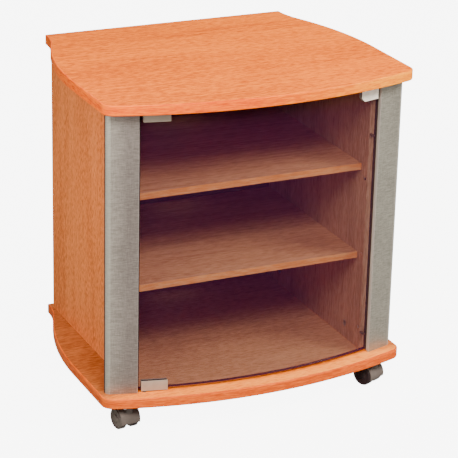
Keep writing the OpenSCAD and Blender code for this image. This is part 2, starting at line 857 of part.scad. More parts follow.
fender_from = 38;
fender_to = 194;

module at_caster(c) {
    translate([c[0], c[1], 0]) rotate([0, 0, c[2]]) children();
}

module at_plate_screws(c) {
    for (sx = [-1, 1]) for (sy = [-1, 1])
        translate([c[0] + sx * plate_pitch / 2, c[1] + sy * plate_pitch / 2, caster_h]) children();
}

module caster_plate(c) {
    color(STEEL) {
        difference() {
            translate([c[0] - plate_w / 2, c[1] - plate_w / 2, plate_z]) cube([plate_w, plate_w, plate_t]);
            at_plate_screws(c) translate([0, 0, -2 * plate_t])
                cylinder(r = screw_d / 2 + hole_gap, h = 3 * plate_t);
        }
        translate([c[0], c[1], stem_z]) cylinder(d = stem_d, h = plate_z - stem_z + eps);
    }
}

module caster_screws() {
    color(STEEL) for (c = CASTERS) at_plate_screws(c) translate([0, 0, -plate_t]) pan_screw(plate_screw_l + plate_t);
}

// Drawn with the axle along Y, trailing in +X; angles run from +X over the top
module caster_hood(c) {
    color(HOOD_GREY) at_caster(c) difference() {
        union() {
            translate([trail, 0, wheel_r]) rotate([90, 0, 0]) {
                linear_extrude(hood_w, center = true) difference() {
                    circle(r = hood_out_r);
                    circle(r = hood_in_r);
                    polygon(concat([[0, 0]], [
                        for (i = [0 : 6])
                            on_arc(0, 0, 2 * hood_out_r, fender_to + (360 + fender_from - fender_to) * i / 6)
                    ]));
                }
                linear_extrude(web_t, center = true) intersection() {
                    circle(r = hood_in_r + hood_t / 2);
                    polygon(concat([[hub_d / 2, -hub_d / 2]], [
                        for (i = [0 : 6])
                            on_arc(0, 0, 2 * hood_out_r, fender_from + (fender_to - fender_from) * i / 6)
                    ], [[-hub_d / 2, -hub_d / 2]]));
                }
                cylinder(d = hub_d, h = web_t, center = true);
            }
            translate([0, 0, wheel_r + hood_in_r - neck_sink])
                cylinder(d = neck_d, h = plate_z - swivel_gap - wheel_r - hood_in_r + neck_sink);
        }
        wheel_spaces();
        translate([0, 0, stem_z - 1]) cylinder(r = stem_d / 2 + caster_play, h = caster_h);
        translate([trail, 0, wheel_r]) rotate([90, 0, 0]) cylinder(d = axle_d, h = 2 * hood_w, center = true);
    }
}

module wheel_spaces() {
    for (side = [-1, 1])
        translate([trail, side * (web_t / 2 + wheel_w), wheel_r]) rotate([90, 0, 0])
            cylinder(r = hood_in_r, h = 2 * wheel_w, center = true);
}

axle_l = web_t + 2 * (wheel_w + wheel_gap) - 4;

module caster_axle(c) {
    color(STEEL) at_caster(c) translate([trail, 0, wheel_r]) rotate([90, 0, 0])
        cylinder(d = axle_d, h = axle_l, center = true);
}

// One wheel, side = 1 or -1 of the web: tread, dished face with a hub, blind axle hole
module wheel(c, side) {
    rim = 4;
    dish = 2.5;
    chamfer = 1.5;
    color(DARK) at_caster(c) translate([trail, side * (web_t / 2 + wheel_gap), wheel_r])
        rotate([-90 * side, 0, 0]) difference() {
            rotate_extrude($fn = 96) polygon([
                [0, 0], [wheel_r - chamfer, 0], [wheel_r, chamfer], [wheel_r, wheel_w - 2 * chamfer],
                [wheel_r - 2 * chamfer, wheel_w], [wheel_r - rim, wheel_w],
                [wheel_r - rim - dish, wheel_w - dish], [hub_d / 2 + dish, wheel_w - dish],
                [hub_d / 2, wheel_w], [0, wheel_w]
            ]);
            translate([0, 0, -1]) cylinder(r = axle_d / 2 + caster_play, h = wheel_w - 1);
        }
}

top_panel();
top_edging();
bottom_panel();
bottom_edging();
side_panel_left();
side_panel_right();
pilaster_left();
pilaster_right();
upper_shelf();
lower_shelf();
back_panel();
shelf_pins();
cam_bolts();
cam_locks();
dowels();
pilaster_screws();
back_nails();
door_glass();
hinge_clip_top();
hinge_clip_bottom();
hinge_liners();
hinge_clamp_screws();
pivot_pin_top();
pivot_pin_bottom();
pivot_bush_top();
pivot_bush_bottom();
strike_plate();
catch_housing();
catch_plunger();
catch_screws();
door_bumpers();
caster_screws();
caster_plate(CASTERS[0]);  // caster_plate_front_left
caster_hood(CASTERS[0]);  // caster_hood_front_left
caster_axle(CASTERS[0]);  // caster_axle_front_left
wheel(CASTERS[0], 1);  // wheel_front_left_outer
wheel(CASTERS[0], -1);  // wheel_front_left_inner
caster_plate(CASTERS[1]);  // caster_plate_front_right
caster_hood(CASTERS[1]);  // caster_hood_front_right
caster_axle(CASTERS[1]);  // caster_axle_front_right
wheel(CASTERS[1], -1);  // wheel_front_right_outer
wheel(CASTERS[1], 1);  // wheel_front_right_inner
caster_plate(CASTERS[2]);  // caster_plate_back_left
caster_hood(CASTERS[2]);  // caster_hood_back_left
caster_axle(CASTERS[2]);  // caster_axle_back_left
wheel(CASTERS[2], 1);  // wheel_back_left_outer
wheel(CASTERS[2], -1);  // wheel_back_left_inner
caster_plate(CASTERS[3]);  // caster_plate_back_right
caster_hood(CASTERS[3]);  // caster_hood_back_right
caster_axle(CASTERS[3]);  // caster_axle_back_right
wheel(CASTERS[3], -1);  // wheel_back_right_outer
wheel(CASTERS[3], 1);  // wheel_back_right_inner
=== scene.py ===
# Looks of the television cart: materials, eased edges, floor, light and camera.
# Metres, floor at z = 0, front towards -Y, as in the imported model. Sizes named in capitals are in
# millimetres, unless their comment says otherwise.
import json
from math import asin, acos, sin, cos, radians, degrees, sqrt

import bpy
import bmesh
from mathutils import Vector, Matrix


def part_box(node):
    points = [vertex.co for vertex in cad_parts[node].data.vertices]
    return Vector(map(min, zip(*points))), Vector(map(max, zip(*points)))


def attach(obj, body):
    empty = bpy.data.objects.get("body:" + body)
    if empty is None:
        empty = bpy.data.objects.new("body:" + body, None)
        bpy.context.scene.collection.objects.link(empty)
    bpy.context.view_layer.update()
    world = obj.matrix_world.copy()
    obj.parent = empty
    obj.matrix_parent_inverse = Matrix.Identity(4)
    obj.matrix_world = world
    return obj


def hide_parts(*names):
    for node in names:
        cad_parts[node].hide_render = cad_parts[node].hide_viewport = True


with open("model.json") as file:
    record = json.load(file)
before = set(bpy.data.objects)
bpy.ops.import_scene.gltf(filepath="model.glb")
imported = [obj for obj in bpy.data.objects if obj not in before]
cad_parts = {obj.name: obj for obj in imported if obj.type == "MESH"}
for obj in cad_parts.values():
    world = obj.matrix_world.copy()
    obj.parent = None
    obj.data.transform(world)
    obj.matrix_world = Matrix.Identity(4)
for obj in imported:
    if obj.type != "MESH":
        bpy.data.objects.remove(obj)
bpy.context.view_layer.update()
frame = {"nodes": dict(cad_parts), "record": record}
cad_nodes = frame["nodes"]
record = frame["record"]
body_of_node = {node: body for body, nodes in record["behaviour"]["bodies"].items() for node in nodes}
slot_of_node = {row["node"]: row["material_slot"] for row in record["subparts"]}

MM = 0.001

# Camera, found by fitting the cart's edges in the photograph: its place in metres and its turns in degrees
CAMERA_AT = (-1.7951, -3.8419, 1.9825)
CAMERA_YAW, CAMERA_PITCH, CAMERA_ROLL = 25.46, 21.27, 1.40
LENS, SENSOR = 163.6, 36.0
FARTHEST = 100  # metres that the camera sees

# Colours of the lamps and of the room's own light, and the strength of the latter
LAMP_COLOUR = (1.0, 0.93, 0.80)
ROOM_COLOUR = (1.0, 0.92, 0.76, 1.0)
ROOM_STRENGTH = 0.38

# Half the width of the floor in metres, and the darkest and lightest colour of its faint clouds
FLOOR_HALF = 30.0
FLOOR_DARK, FLOOR_LIGHT = (0.18, 0.179, 0.177), (0.20, 0.199, 0.197)
# How brightly the camera sees the floor, over what falls on it, as on a light table, but not through glass
FLOOR_GLOW = 7.5

# Sizes of the boards and the glass, as in the part's source, and the flare in degrees
BOARD_DEPTH, BACK_W, FRONT_W, BOARD_T = 575, 568, 700, 22
BOW_R, CORNER_R, HOLLOW_R, FLARE = 1060, 28, 185, 22.5
EDGING_T, EDGING_ROUND = 3, 2.2
CASTER_H, SIDE_H = 61, 617
GLASS_SETBACK, GLASS_T = 36, 5
HINGE_EDGE_GAP, LOCK_EDGE_GAP, GLASS_END_GAP = 4, 5, 6

# Heights, depths and radii that follow from them
FLOOR_Z = CASTER_H + BOARD_T
CEIL_Z = FLOOR_Z + SIDE_H
BACK_Y = BOARD_DEPTH / 2
BOW_Y = BACK_Y - BOARD_DEPTH + BOW_R
GLASS_OUT_R = BOW_R - GLASS_SETBACK
GLASS_IN_R = GLASS_OUT_R - GLASS_T
GLASS_MID_R = GLASS_OUT_R - GLASS_T / 2
GLASS_Z = (FLOOR_Z + GLASS_END_GAP, CEIL_Z - GLASS_END_GAP)

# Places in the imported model, and the turns of the glass's side edges in radians
SIDE_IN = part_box("side_panel_right")[0][0] / MM
BACK_MID = sum(corner[1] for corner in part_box("back_panel")) / 2 / MM
LEFT_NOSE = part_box("pilaster_left")[0][0] / MM
PILASTER_IN, PILASTER_FRONT = (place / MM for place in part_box("pilaster_right")[0][:2])
GLASS_TURN = (-asin((PILASTER_IN - HINGE_EDGE_GAP) / GLASS_MID_R),
              asin((PILASTER_IN - LOCK_EDGE_GAP) / GLASS_MID_R))

# Stretches over which a tone changes; each of these tones is a painted light or a painted shade
BAY_SHADE_FADE = 20  # behind the inner face of the glass
LIT_STRIP_FADE = (-4, 6)  # forward of the outer face of the glass
LEDGE_SHADE_FADE = (8, 15)  # outward of the inner face of a side board
NOSE_SHEEN_FADE = (8, 42)  # in from the outer side of the left pilaster
LIT_STRIP_X = (-250, 200)
RIGHT_END_LIGHT_X = (-50, 300)
LEDGE_SHADE_Y = (-235, -205)
LIT_STRIP_LEFT = 0.45  # strength of the strip's tone at its left end, where 1 is full

# Depth of the silver foil on a pilaster's return, behind which the return is painted dark as shade, and
# height of the dark line at the foot of the glass, partly its tinted edge and partly painted shade
RETURN_FOIL = 10.2
GLASS_SHADE_LINE_H = 3

# Widths of the eased arrises, and the distance within which two corners are one
PILASTER_ARRIS, ARRIS, FINE_ARRIS, GLASS_ARRIS = 1.0, 0.5, 0.4, 1.2
WELD = 0.01

# Turns of a surface, in degrees, from which an edge is kept, eased or shaded sharp
FLAT_TURN, EASED_TURN, SHARP_TURN, LIPPING_SHARP_TURN = 0.3, 40, 35, 50
# Least rise of an upright edge, as a share of its length
UPRIGHT_RISE = 0.9

# Least part of a face's normal along a direction, for a face that looks that way
FACING, LIT_WHEEL_FACING = 0.5, 0.25
# Limits of a pilaster's zones: how far outward its nose, inner edge and return look, and how far to the
# rear its backing looks. The nose and inner edge carry a painted highlight, the backing and the return's
# rear painted shade
NOSE_OUTWARD, EDGE_OUTWARD, RETURN_OUTWARD, BACKING_REARWARD = 0.34, -0.25, -0.97, -0.17


class Graph:
    """A material's nodes, with a Principled shader at the end."""

    def __init__(self, name):
        self.material = bpy.data.materials.new(name)
        self.material.use_nodes = True
        self.tree = self.material.node_tree
        self.tree.nodes.clear()
        self.out = self.tree.nodes.new("ShaderNodeOutputMaterial")
        self.shader = self.tree.nodes.new("ShaderNodeBsdfPrincipled")
        self.fill(self.out.inputs["Surface"], self.shader.outputs[0])
        self.coords = self.tree.nodes.new("ShaderNodeTexCoord")

    def fill(self, socket, value):
        """Sets a socket to a plain value, or links it to the socket given as the value."""
        if isinstance(value, bpy.types.NodeSocket):
            self.tree.links.new(value, socket)
        else:
            socket.default_value = value

    def put(self, kind, inputs, **settings):
        """A new node, with its settings made and its inputs filled."""
        made = self.tree.nodes.new(kind)
        for key, value in settings.items():
            setattr(made, key, value)
        for key, value in inputs.items():
            self.fill(made.inputs[key], value)
        return made

    def set(self, **values):
        """Sets sockets of the shader, named with underscores for spaces."""
        for key, value in values.items():
            self.fill(self.shader.inputs[key.replace("_", " ")], value)

    def place(self):
        """X, Y and Z of a point of the surface, in metres."""
        return self.put("ShaderNodeSeparateXYZ", {0: self.coords.outputs["Object"]}).outputs

    def noise(self, scale, source="Object", detail=2.0, roughness=0.5, distortion=0.0):
        """Noise, with its scale per metre along X, Y and Z."""
        vector = self.put("ShaderNodeMapping", {"Vector": self.coords.outputs[source], "Scale": scale})
        inputs = {"Vector": vector.outputs[0], "Scale": 1.0, "Detail": detail, "Roughness": roughness,
                  "Distortion": distortion}
        return self.put("ShaderNodeTexNoise", inputs).outputs[0]

    def math(self, operation, a, b=0.0):
        return self.put("ShaderNodeMath", {0: a, 1: b}, operation=operation).outputs[0]

    def product(self, first, *others):
        """Product of two or more values."""
        for other in others:
            first = self.math("MULTIPLY", first, other)
        return first

    def weighted(self, *shares):
        """Sum of values, each times its weight, from pairs of the two."""
        parts = [self.math("MULTIPLY", value, weight) for value, weight in shares]
        total = parts[0]
        for part in parts[1:]:
            total = self.math("ADD", total, part)
        return total

    def spread(self, value, low, high, to_low=0.0, to_high=1.0):
        """Stretches the values from low to high to the range from to_low to to_high."""
        return self.put("ShaderNodeMapRange", {"Value": value, "From Min": low, "From Max": high,
                                               "To Min": to_low, "To Max": to_high}).outputs[0]

    def fade(self, place, low, high, to_low=0.0, to_high=1.0):
        """As spread, between two places given in millimetres."""
        return self.spread(place, low * MM, high * MM, to_low, to_high)

    def ramp(self, value, places, colours):
        """Colours that blend from one to the next between their places on a value from 0 to 1."""
        made = self.put("ShaderNodeValToRGB", {"Fac": value})
        elements = made.color_ramp.elements
        while len(elements) < len(places):
            elements.new(0.5)
        for element, place, colour in zip(elements, places, colours):
            element.position = place
            element.color = (*colour, 1.0)
        return made.outputs[0]

    def mix(self, share, a, b, blend="MIX"):
        """Colour a with a share of colour b."""
        made = self.put("ShaderNodeMix", {0: share, 6: a, 7: b}, data_type="RGBA", blend_type=blend)
        return made.outputs[2]

    def roughen(self, noise, low, high):
        """Roughness from low to high with a noise."""
        self.set(Roughness=self.spread(noise, *NOISE_RANGE, low, high))

    def bump(self, height, strength, distance):
        made = self.put("ShaderNodeBump", {"Height": height, "Strength": strength, "Distance": distance})
        self.set(Normal=made.outputs[0])


def along(axis, across, length):
    """Scale of a texture that is `length` per metre along the grain and `across` per metre across it."""
    return tuple(length if letter == axis else across for letter in "XYZ")


def even(scale):
    """Scale of a texture that is the same each way."""
    return (scale, scale, scale)


def scaled(colour, factor):
    return tuple(factor * channel for channel in colour)


def bow_reach(graph, x, y):
    """Distance of a point from the upright axis that the bows are drawn round, in metres."""
    depth = graph.math("SUBTRACT", y, BOW_Y * MM)
    return graph.math("SQRT", graph.math("ADD", graph.product(x, x), graph.product(depth, depth)))


def on_top_of_floor(graph, z):
    """1 on the upper side of the bottom board, 0 below it."""
    return graph.fade(z, FLOOR_Z - 2, FLOOR_Z - 1)


def painted_bay_shade(graph):
    """Painted shade on the upper side of the bottom board behind the door and between the side boards: 1
    there, 0 elsewhere.
    """
    x, y, z = graph.place()
    behind = graph.fade(bow_reach(graph, x, y), GLASS_IN_R - BAY_SHADE_FADE, GLASS_IN_R, 1.0, 0.0)
    between = graph.fade(graph.math("ABSOLUTE", x), SIDE_IN - 1, SIDE_IN, 1.0, 0.0)
    return graph.product(behind, between, on_top_of_floor(graph, z))


def painted_lit_strip(graph):
    """Painted light on the upper side of the bottom board before the door: 1 there, less at its left end, 0
    elsewhere.
    """
    x, y, z = graph.place()
    before = graph.fade(bow_reach(graph, x, y), *(GLASS_OUT_R + past for past in LIT_STRIP_FADE))
    return graph.product(before, on_top_of_floor(graph, z), graph.fade(x, *LIT_STRIP_X, LIT_STRIP_LEFT, 1.0))


def painted_ledge_shade(graph):
    """Painted shade on a board outside the side boards: 1 there, fading out towards the front edge."""
    x, y, _ = graph.place()
    outside = graph.fade(graph.math("ABSOLUTE", x), *(SIDE_IN + past for past in LEDGE_SHADE_FADE))
    return graph.product(outside, graph.fade(y, *LEDGE_SHADE_Y))


def painted_right_end_light(graph):
    """Painted light towards a board's right end: rises from 0 in the middle of a board to 1 near its right
    end.
    """
    return graph.fade(graph.place()[0], *RIGHT_END_LIGHT_X)


def sheen_beside_left_nose(graph):
    """Painted sheen beside the left pilaster's nose: 1 there, fading to 0 across its face."""
    return graph.fade(graph.place()[0], *(LEFT_NOSE + past for past in NOSE_SHEEN_FADE), 1.0, 0.0)


# The part of its range that a noise mostly keeps to, and where the tones of mixed noises lie in it
NOISE_RANGE = (0.3, 0.7)
GRAIN_STOPS = (0.42, 0.50, 0.58)
FOIL_STOPS = (0.41, 0.59)
BOARD_STOPS = (0.35, 0.65)


def laminate(name, tones, axis, source="Object", figure=0.6, roughness=0.50, short=42, streaks=0.28,
             zones=()):
    """Printed beech laminate: short flecks, streaks and broad bands along the grain.

    figure is how wavy the grain is, short the flecks per metre along it and streaks the streaks' weight.
    Each zone is a mask and the tones that show where the mask is 1; the zones used here paint light or
    shade.
    """
    graph = Graph(name)
    band = graph.noise(along(axis, 13, 1.1), source, detail=1.5, distortion=0.8 * figure)
    streak = graph.noise(along(axis, 120, 5.5), source, detail=3.0, distortion=figure)
    fleck = graph.noise(along(axis, 400, short), source, roughness=0.6)
    pore = graph.noise(along(axis, 1100, 70), source, detail=1.0)
    tone = graph.weighted((band, 0.20), (streak, streaks), (fleck, 0.80 - streaks))
    colour = graph.ramp(tone, GRAIN_STOPS, tones)
    for mask, zone_tones in zones:
        colour = graph.mix(mask(graph), colour, graph.ramp(tone, GRAIN_STOPS, zone_tones))
    colour = graph.mix(1.0, colour, graph.spread(pore, 0.58, 0.74, 1.0, 0.72), "MULTIPLY")
    graph.set(Base_Color=colour, Specular_IOR_Level=0.05)
    graph.roughen(fleck, roughness - 0.04, roughness + 0.06)
    graph.bump(graph.math("SUBTRACT", fleck, graph.product(pore, 0.5)), 0.10, 0.0004)
    return graph.material


def brushed_foil(name, low, high, metallic=0.60, nose_sheen=None):
    """Silver foil with a fine crossed brush, with the lighter tones `nose_sheen` beside the left pilaster's
    nose as a painted sheen.
    """
    graph = Graph(name)
    brush = graph.noise((60, 60, 560), detail=4.0, roughness=0.8)
    upright = graph.noise((700, 700, 60), roughness=0.6)
    cloud = graph.noise((9, 9, 5))
    tone = graph.weighted((brush, 0.62), (upright, 0.22), (cloud, 0.16))
    colour = graph.ramp(tone, FOIL_STOPS, (low, high))
    if nose_sheen:
        colour = graph.mix(sheen_beside_left_nose(graph), colour, graph.ramp(tone, FOIL_STOPS, nose_sheen))
    graph.set(Base_Color=colour, Metallic=metallic)
    graph.roughen(brush, 0.34, 0.46)
    graph.bump(graph.math("ADD", brush, upright), 0.10, 0.0002)
    return graph.material


def metal(name, colour, roughness, metallic=1.0):
    """Plated metal with a faint grain and softly varied gloss."""
    graph = Graph(name)
    cloud = graph.noise(even(60), detail=3.0)
    graph.set(Base_Color=graph.ramp(cloud, (0.35, 0.65), (scaled(colour, 0.86), colour)), Metallic=metallic)
    graph.roughen(cloud, roughness - 0.05, roughness + 0.07)
    graph.bump(graph.noise(even(900)), 0.06, 0.0001)
    return graph.material


def plastic(name, colour, roughness):
    """Moulded plastic or rubber with a fine spark-eroded texture."""
    graph = Graph(name)
    fine = graph.noise(even(1400))
    light = tuple(1.25 * channel + 0.004 for channel in colour)
    graph.set(Base_Color=graph.ramp(graph.noise(even(45), detail=3.0), (0.35, 0.68), (colour, light)))
    graph.roughen(fine, roughness - 0.05, roughness + 0.08)
    graph.bump(fine, 0.10, 0.0002)
    return graph.material


def smoked_glass(name, alpha):
    """Smoked glass: a dark veil over what is behind it, with a clean gloss."""
    graph = Graph(name)
    smear = graph.noise((5, 5, 2.5), detail=3.0)
    graph.set(Base_Color=graph.ramp(smear, NOISE_RANGE, (SMOKE, scaled(SMOKE, 1.15))), Alpha=alpha)
    graph.set(Roughness=graph.spread(smear, 0.4, 0.75, 0.02, 0.06), Specular_IOR_Level=0.12)
    graph.material.surface_render_method = "BLENDED"
    return graph.material


def hardboard(name, inner, outer=None, split=0.0):
    """Hardboard, with the colour `outer` where it lies behind y = split, in millimetres."""
    graph = Graph(name)
    fibre = graph.noise(even(700), detail=4.0, roughness=0.7)
    tone = graph.weighted((fibre, 0.55), (graph.noise(even(9), detail=3.0), 0.45))
    colour = graph.ramp(tone, BOARD_STOPS, (scaled(inner, 0.7), scaled(inner, 1.3)))
    if outer:
        rear = graph.ramp(tone, BOARD_STOPS, (scaled(outer, 0.8), scaled(outer, 1.2)))
        colour = graph.mix(graph.fade(graph.place()[1], split - 0.2, split + 0.2), colour, rear)
    graph.set(Base_Color=colour, Roughness=0.7)
    graph.bump(fibre, 0.25, 0.0003)
    return graph.material


# Dark, middle and light tone of the beech print, by where it lies; some sets are tones of painted light or
# painted shade, as said above them
BEECH = ((0.52, 0.082, 0.001), (0.78, 0.150, 0.001), (0.94, 0.215, 0.003))
RAW_BEECH = ((0.55, 0.36, 0.18), (0.68, 0.47, 0.26), (0.76, 0.56, 0.34))
TOP_EDGE = ((0.66, 0.074, 0.001), (0.86, 0.120, 0.001), (0.95, 0.180, 0.002))
LOW_EDGE = ((0.56, 0.078, 0.008), (0.74, 0.118, 0.012), (0.84, 0.170, 0.020))
# Painted light: lighter, yellower lipping tones towards the right end of the top
RIGHT_END_LIGHT = ((0.74, 0.185, 0.001), (0.92, 0.280, 0.001), (0.98, 0.360, 0.002))
SIDE = ((0.61, 0.150, 0.034), (0.84, 0.228, 0.060), (0.96, 0.300, 0.090))
# Painted shade: darker, duller tones for the side boards' inner faces, as in the shade inside the cabinet
SHADED_SIDE_INSIDE = ((0.45, 0.222, 0.125), (0.58, 0.303, 0.188), (0.68, 0.378, 0.250))
# Painted shade: darker, duller tones for the shelf tops and the cabinet's floor, as in the shade inside it
SHADED_SHELF = ((0.48, 0.210, 0.100), (0.62, 0.290, 0.150), (0.72, 0.360, 0.200))
# The shelves' paler front edge band, painted lighter still as painted light from the front
LIT_SHELF_FRONT = ((0.88, 0.290, 0.080), (0.98, 0.370, 0.130), (0.99, 0.440, 0.180))
# Painted light: lighter tones for the strip of bottom board before the door, weaker at its left end
LIT_STRIP = ((0.80, 0.190, 0.020), (0.97, 0.275, 0.035), (0.99, 0.340, 0.060))
# Painted shade: darker, browner tones for the bottom board outside the side boards
LEDGE_SHADE = ((0.30, 0.072, 0.014), (0.42, 0.114, 0.028), (0.53, 0.158, 0.044))

# Other colours that more than one material needs
SMOKE = (0.030, 0.004, 0.028)
# Dark colour painted where there is only shade: the pilasters' backing, the rear of their returns and the
# left side board's front edge
SHADE_DARK = (0.045, 0.026, 0.024)

# How the print runs on the boards and on their edging
BOARD_GRAIN = {"axis": "X", "short": 60, "streaks": 0.22}
EDGING_GRAIN = {"axis": "X", "source": "UV", "figure": 0.4, "roughness": 0.30}

MATERIALS = {
    "board": laminate("beech_board", BEECH, **BOARD_GRAIN),
    # Top lipping, with painted light towards its right end
    "edging": laminate("beech_lipping", TOP_EDGE, **EDGING_GRAIN, zones=((painted_right_end_light, RIGHT_END_LIGHT),)),
    "side_laminate": laminate("beech_side", SIDE, "Z", figure=1.2, short=95, streaks=0.18),
    # Left pilaster's foil, with a painted sheen beside its nose
    "silver_foil": brushed_foil("silver_foil", (0.186, 0.162, 0.160), (0.326, 0.290, 0.284),
                                nose_sheen=((0.285, 0.262, 0.246), (0.490, 0.455, 0.430))),
    "back_board": hardboard("hardboard", (0.045, 0.026, 0.017), (0.290, 0.170, 0.105), BACK_MID),
    "dowel": laminate("raw_beech", RAW_BEECH, "Z"),
    "smoked_glass": smoked_glass("smoked_glass", 0.27),
    "nickel": metal("satin_nickel", (0.42, 0.360, 0.31), 0.42, metallic=0.3),
    "zinc": metal("bright_zinc", (0.62, 0.62, 0.63), 0.30),
    "grey_plastic": plastic("grey_plastic", (0.108, 0.088, 0.084), 0.36),
    "black_plastic": plastic("black_plastic", (0.018, 0.018, 0.019), 0.45),
    "wheel_plastic": plastic("wheel_plastic", (0.030, 0.015, 0.020), 0.42),
    "rubber": plastic("rubber", (0.022, 0.022, 0.022), 0.7),
}

# Materials of one face, zone or piece alone
# Painted highlight: lighter, less metallic foil on the pilasters' inner edges
FOIL_EDGE_HIGHLIGHT = brushed_foil("foil_edge_painted_highlight", (0.300, 0.275, 0.270), (0.390, 0.360, 0.350), metallic=0.1)
# Painted highlight: lighter foil on the pilasters' noses
FOIL_NOSE_HIGHLIGHT = brushed_foil("foil_nose_painted_highlight", (0.390, 0.385, 0.355), (0.560, 0.555, 0.515))
# Painted light: a lighter copy of the silver foil for the right pilaster, as where the key light falls on
# it
FOIL_RIGHT_LIT = brushed_foil("silver_foil_right_painted_light", (0.222, 0.216, 0.196), (0.390, 0.380, 0.350))
# A pilaster's return: pale foil at its front and painted shade behind; its backing in painted shade
FOIL_RETURN_AND_SHADE = hardboard("pilaster_return_foil_and_painted_shade", (0.50, 0.47, 0.45), SHADE_DARK, PILASTER_FRONT + RETURN_FOIL)
SHADED_BACKING = hardboard("pilaster_backing_painted_shade", SHADE_DARK)
# Shelves' front edge band, with painted light
LIT_SHELF_EDGE = laminate("shelf_band_painted_light", LIT_SHELF_FRONT, "X", figure=0.4)
# Shelf tops in painted shade
SHADED_SHELF_FACE = laminate("shelf_face_painted_shade", SHADED_SHELF, "X")
# Side boards' inner faces in painted shade
SHADED_INNER_FACE = laminate("side_inner_face_painted_shade", SHADED_SIDE_INSIDE, "Z", figure=1.2)
LOW_EDGING = laminate("low_lipping", LOW_EDGE, **EDGING_GRAIN)
# Bottom board: beech print, with painted shade inside the cabinet and outside the side boards, and painted
# light before the door
FLOOR_BOARD = laminate("bottom_board", BEECH, **BOARD_GRAIN,
                       zones=((painted_bay_shade, SHADED_SHELF), (painted_lit_strip, LIT_STRIP), (painted_ledge_shade, LEDGE_SHADE)))
# The glass's lowest band, nearly opaque: its tinted edge, darkened further as painted shade of the gap
# beneath it
GLASS_EDGE_AND_SHADE = smoked_glass("smoked_glass_edge_and_painted_shade", 0.92)
# Painted light: a lighter grey for the outer faces of the left casters' outer wheels, as where light falls
# on them
LIT_WHEEL_FACE = plastic("wheel_face_painted_light", (0.120, 0.102, 0.096), 0.36)
BROWN_RUBBER = plastic("brown_rubber", (0.150, 0.075, 0.050), 0.6)
# Painted light: the strike plate in a much lighter, unmetallic copy of the satin nickel, as where light
# falls on it
LIT_PLATE = metal("strike_plate_painted_light", (1.0, 0.96, 0.90), 0.30, metallic=0.0)


def paint(piece, material):
    """One material all over a piece."""
    piece.data.materials.clear()
    piece.data.materials.append(material)


def cover(piece, material, is_chosen):
    """Another material on the faces of a piece that are chosen."""
    index = len(piece.data.materials)
    piece.data.materials.append(material)
    for face in piece.data.polygons:
        if is_chosen(face):
            face.material_index = index


def mesh_from(bm, name):
    """A mesh of what was built, with its faces turned outward."""
    bmesh.ops.recalc_face_normals(bm, faces=bm.faces)
    mesh = bpy.data.meshes.new(name)
    bm.to_mesh(mesh)
    bm.free()
    return mesh


def add_piece(name, mesh, node, material, sharp_turn=SHARP_TURN):
    """A new piece in the place of a CAD node, riding on the body that the node rides on."""
    for face in mesh.polygons:
        face.use_smooth = True
    mesh.set_sharp_from_angle(angle=radians(sharp_turn))
    piece = bpy.data.objects.new(name, mesh)
    bpy.context.scene.collection.objects.link(piece)
    paint(piece, material)
    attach(piece, body_of_node[node])
    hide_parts(node)
    return piece


def weigh_normals(piece):
    """Keeps wide faces flat in the shading of the arrises beside them."""
    piece.modifiers.new("weighted_normals", "WEIGHTED_NORMAL").keep_sharp = True


def turn_of(edge):
    """Angle between the two faces at an edge, in degrees, and 0 where there aren't two."""
    return degrees(edge.calc_face_angle(0.0))


def stands(edge):
    """Whether an edge is upright, or nearly so."""
    low, high = (corner.co.z for corner in edge.verts)
    return abs(high - low) > UPRIGHT_RISE * edge.calc_length()


def arc_points(centre, r, start, sweep, steps, first=0):
    """Points on an arc, its start and sweep in degrees. With first=1 the start is left out."""
    turns = [radians(start + sweep * i / steps) for i in range(first, steps + 1)]
    return [(centre[0] + r * cos(turn), centre[1] + r * sin(turn)) for turn in turns]


def half_outline(inset):
    """Right half of a board's outline, from the back corner to the crown of the bow."""
    half_back, half_front = BACK_W / 2, FRONT_W / 2
    full_r = (half_front - half_back) / (1 - cos(radians(FLARE))) - HOLLOW_R
    flare_y = BACK_Y - (HOLLOW_R + full_r) * sin(radians(FLARE))
    corner_x = half_front - CORNER_R
    corner_y = BOW_Y - sqrt((BOW_R - CORNER_R) ** 2 - corner_x ** 2)
    corner_end = degrees(acos(corner_x / (BOW_R - CORNER_R)))
    hollow = arc_points((half_back + HOLLOW_R, BACK_Y), HOLLOW_R + inset, 180, FLARE, steps=24)
    full = arc_points((half_front - full_r, flare_y), full_r - inset, FLARE, -FLARE, steps=32, first=1)
    corner = arc_points((corner_x, corner_y), CORNER_R - inset, 0, -corner_end, steps=24)
    bow = arc_points((0, BOW_Y), BOW_R - inset, -corner_end, corner_end - 90, steps=48, first=1)
    return hollow + full + corner + bow


def outline(inset):
    """A board's outline, from its right back corner round the front to its left one."""
    half = half_outline(inset)
    return half + [(-x, y) for x, y in reversed(half[:-1])]


def edging_section():
    """Inset and height of the lipping's section, from its inner bottom corner round to its inner top."""
    low_round = arc_points((EDGING_ROUND, EDGING_ROUND), EDGING_ROUND, -90, -90, steps=8)
    top_round = [(inset, BOARD_T - height) for inset, height in reversed(low_round)]
    return [(EDGING_T, 0)] + low_round + top_round + [(EDGING_T, BOARD_T)]


def lengths_along(points):
    """Distance of each point from the first, along the line through them, in metres."""
    lengths = [0.0]
    for last, point in zip(points, points[1:]):
        lengths.append(lengths[-1] + (Vector(point) - Vector(last)).length * MM)
    return lengths


